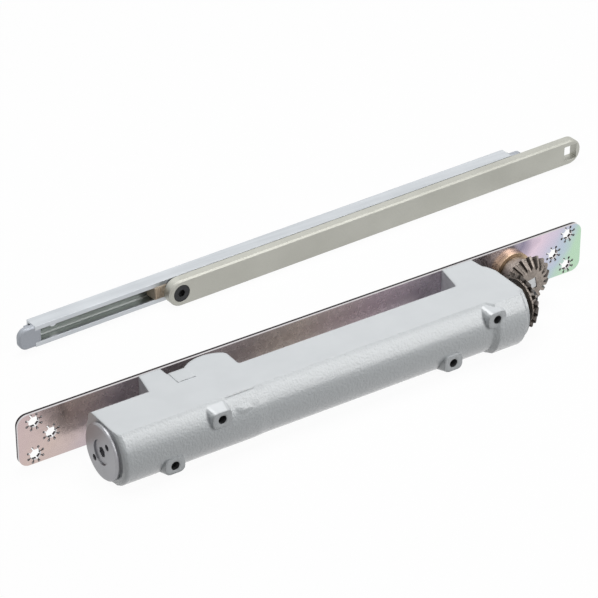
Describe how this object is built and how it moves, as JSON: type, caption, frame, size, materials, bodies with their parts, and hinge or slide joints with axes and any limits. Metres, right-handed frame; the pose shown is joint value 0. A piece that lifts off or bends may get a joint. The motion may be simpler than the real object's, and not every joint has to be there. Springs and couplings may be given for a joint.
{
  "type": "concealed door closer",
  "caption": "Concealed cam-action door closer: cast body under a narrow mounting plate, mitre-gear spindle drive, separate arm on a sliding-block track",
  "frame": {"origin": "the spindle's axis at the mounting plate's outer face", "axes": "+X along the plate towards its gear end, +Y out of the plate's outer face (up when fitted in a door's top edge), +Z across the door's thickness (up as it lies)"},
  "size_m": [0.4475, 0.1694, 0.0323],
  "materials": {
    "cast_silver": "satin silver paint, hammered on the nose",
    "zinc_plate": "iridescent zinc passivate",
    "steel": "machined steel",
    "sintered": "sintered steel, matt",
    "bronze": "sintered bronze",
    "rubber": "matt",
    "black_steel": "black oxide",
    "track_alu": "satin anodised",
    "cap_plastic": "matt grey",
    "slider_plastic": "matt",
    "arm_paint": "satin champagne grey"
  },
  "bodies": {
    "closer": {"mounting_plate": "zinc_plate", "housing": "cast_silver", "housing_screws": "steel", "end_plug": "steel", "end_plug_ring": "rubber", "main_spring": "steel", "thrust_race_housing": "steel", "shaft_bush": "bronze", "shaft_seal": "rubber", "seal_clip": "steel", "spindle_bush": "bronze", "track": "track_alu", "track_end_caps": "cap_plastic"},
    "adjusting_screw": {"adjusting_screw": "steel", "adjusting_screw_ring": "rubber", "adjusting_screw_clip": "steel"},
    "spring_seat": {"spring_seat": "steel"},
    "piston": {"piston": "steel", "piston_seal": "rubber", "check_ball": "steel", "guide_pins": "steel"},
    "cam_roller_plate_side": {"cam_roller_plate_side": "steel"},
    "cam_roller_nose_side": {"cam_roller_nose_side": "steel"},
    "cam_shaft": {"cam_drum": "steel", "cam_shaft": "steel", "thrust_race_shaft": "steel", "shaft_gear": "sintered", "gear_key": "steel", "gear_washer": "steel", "gear_screw": "black_steel"},
    "thrust_cage": {"thrust_cage": "bronze", "thrust_balls": "steel"},
    "spindle": {"spindle_gear": "sintered", "spindle": "steel", "spindle_clip": "steel"},
    "closing_valve": {"closing_valve": "bronze", "closing_valve_ring": "rubber"},
    "latching_valve": {"latching_valve": "bronze", "latching_valve_ring": "rubber"},
    "slider": {"slider": "slider_plastic", "slider_insert": "steel", "pivot_screw": "black_steel", "pivot_washer": "steel"},
    "arm": {"arm": "arm_paint", "arm_bush": "cap_plastic"}
  },
  "joints": [
    {"name": "spindle_turn", "type": "hinge", "parent": "closer", "child": "spindle", "pos_m": [0, 0, 0], "axis": [0, 1, 0], "range_deg": [0, 120]},
    {"name": "cam_shaft_turn", "type": "hinge", "parent": "closer", "child": "cam_shaft", "pos_m": [0, -0.0325, 0], "axis": [1, 0, 0], "range_deg": [0, 120]},
    {"name": "thrust_cage_turn", "type": "hinge", "parent": "closer", "child": "thrust_cage", "pos_m": [0, -0.0325, 0], "axis": [1, 0, 0], "range_deg": [0, 61]},
    {"name": "piston_slide", "type": "slide", "parent": "closer", "child": "piston", "axis": [-1, 0, 0], "range_m": [0, 0.0201], "deforming": ["main_spring"]},
    {"name": "roller_turn_plate_side", "type": "hinge", "parent": "piston", "child": "cam_roller_plate_side", "pos_m": [-0.07908, -0.0325, 0], "axis": [0, 1, 0], "range_deg": [0, 470]},
    {"name": "roller_turn_nose_side", "type": "hinge", "parent": "piston", "child": "cam_roller_nose_side", "pos_m": [-0.07908, -0.0325, 0], "axis": [0, -1, 0], "range_deg": [0, 470]},
    {"name": "adjusting_screw_turn", "type": "hinge", "parent": "closer", "child": "adjusting_screw", "pos_m": [-0.2825, -0.0325, 0], "axis": [1, 0, 0], "range_deg": [0, 1800]},
    {"name": "spring_seat_slide", "type": "slide", "parent": "closer", "child": "spring_seat", "axis": [1, 0, 0], "range_m": [0, 0.0076], "deforming": ["main_spring"]},
    {"name": "closing_valve_turn", "type": "hinge", "parent": "closer", "child": "closing_valve", "pos_m": [-0.2139, 0, 0], "axis": [0, 1, 0], "range_deg": [-180, 360]},
    {"name": "latching_valve_turn", "type": "hinge", "parent": "closer", "child": "latching_valve", "pos_m": [-0.2019, 0, 0], "axis": [0, 1, 0], "range_deg": [-180, 360]},
    {"name": "slider_slide", "type": "slide", "parent": "closer", "child": "slider", "axis": [0.9994, 0.0349, 0], "range_m": [-0.07, 0.225]},
    {"name": "arm_turn", "type": "hinge", "parent": "slider", "child": "arm", "pos_m": [-0.162, 0.0888, -0.0078], "axis": [0.0349, -0.9994, 0], "range_deg": [0, 180]}
  ],
  "couplings": [
    {"joint": "cam_shaft_turn", "follows": "spindle_turn", "ratio": 1},
    {"joint": "thrust_cage_turn", "follows": "spindle_turn", "ratio": 0.5},
    {"joint": "piston_slide", "follows": "spindle_turn", "m_per_rad": 0.0095493},
    {"joint": "roller_turn_plate_side", "follows": "spindle_turn", "ratio": 3.893},
    {"joint": "roller_turn_nose_side", "follows": "spindle_turn", "ratio": 3.893},
    {"joint": "spring_seat_slide", "follows": "adjusting_screw_turn", "m_per_rad": 0.00023873}
  ]
}
